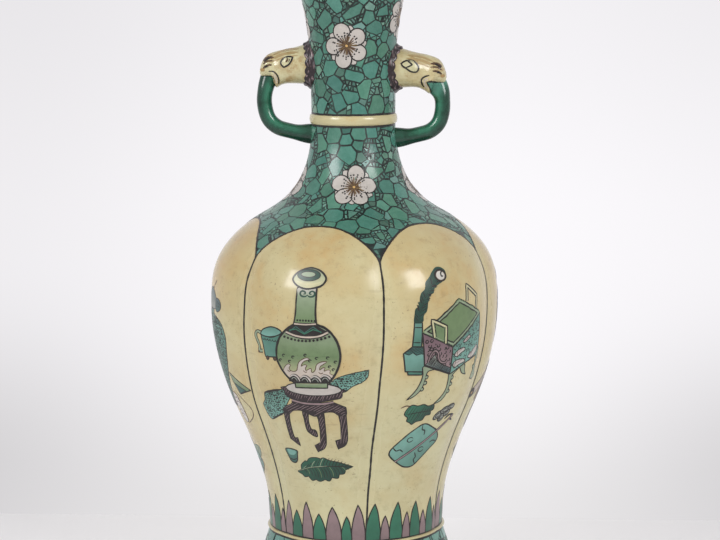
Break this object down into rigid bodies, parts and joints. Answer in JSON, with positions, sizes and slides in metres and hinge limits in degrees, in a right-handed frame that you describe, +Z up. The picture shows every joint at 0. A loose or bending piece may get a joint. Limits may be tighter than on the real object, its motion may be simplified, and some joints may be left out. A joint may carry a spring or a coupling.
{
  "type": "baluster vase",
  "caption": "Six-lobed baluster vase with a trumpet mouth, a spreading foot and two loop handles held in animal heads.",
  "frame": {"origin": "centre of the foot's underside, on the surface the vase stands on", "axes": "+Z up the vase's axis to the mouth; the two handles point along +X and -X; -Y is the painted front"},
  "size_m": [0.1606, 0.1604, 0.3587],
  "materials": {
    "cream_glaze": "warm cream-yellow enamel glaze on biscuit porcelain, mottled, soft gloss",
    "ice_glaze": "turquoise-green enamel in a dark cracked-ice drawing, soft gloss",
    "green_glaze": "deep green enamel glaze, glossy",
    "aubergine_glaze": "aubergine enamel glaze with drawn curls, glossy"
  },
  "bodies": {
    "root": {"foot": "ice_glaze", "foot_fillet": "cream_glaze", "lower_body": "cream_glaze", "upper_body": "cream_glaze", "neck": "ice_glaze", "mouth": "ice_glaze", "neck_fillet": "cream_glaze", "left_mane": "aubergine_glaze", "left_head": "cream_glaze", "left_loop": "green_glaze", "right_mane": "aubergine_glaze", "right_head": "cream_glaze", "right_loop": "green_glaze"}
  },
  "joints": []
}
